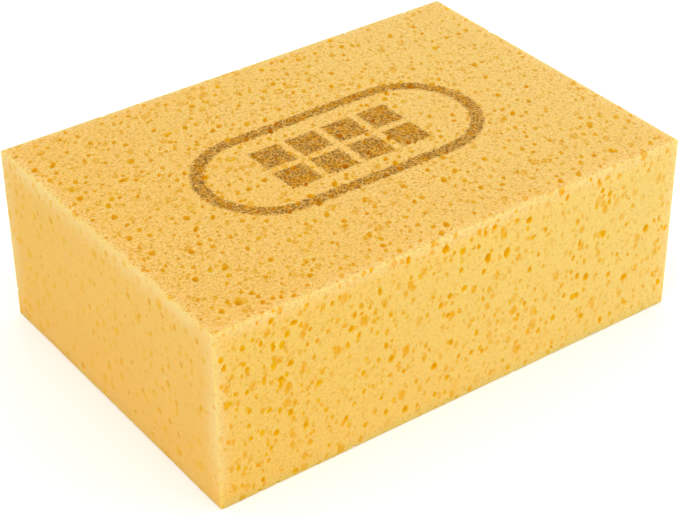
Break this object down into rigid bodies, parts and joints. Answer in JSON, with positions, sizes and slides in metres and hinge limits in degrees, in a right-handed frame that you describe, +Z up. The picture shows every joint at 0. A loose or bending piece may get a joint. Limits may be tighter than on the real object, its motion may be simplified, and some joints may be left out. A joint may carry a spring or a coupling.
{
  "type": "grout sponge",
  "caption": "Rectangular block of porous yellow foam with crisp cut edges, for wiping grout and washing down tiled surfaces.",
  "frame": {"origin": "middle of the underside, on the surface that the block rests on", "axes": "+X along the length, +Y across the width, +Z up through the thickness, the stamp facing +Z"},
  "size_m": [0.19, 0.133, 0.068],
  "materials": {
    "foam": "matt open-cell polyurethane foam, honey yellow, with a speckled brown stamp on the top"
  },
  "bodies": {
    "root": {"sponge_block": "foam"}
  },
  "joints": []
}
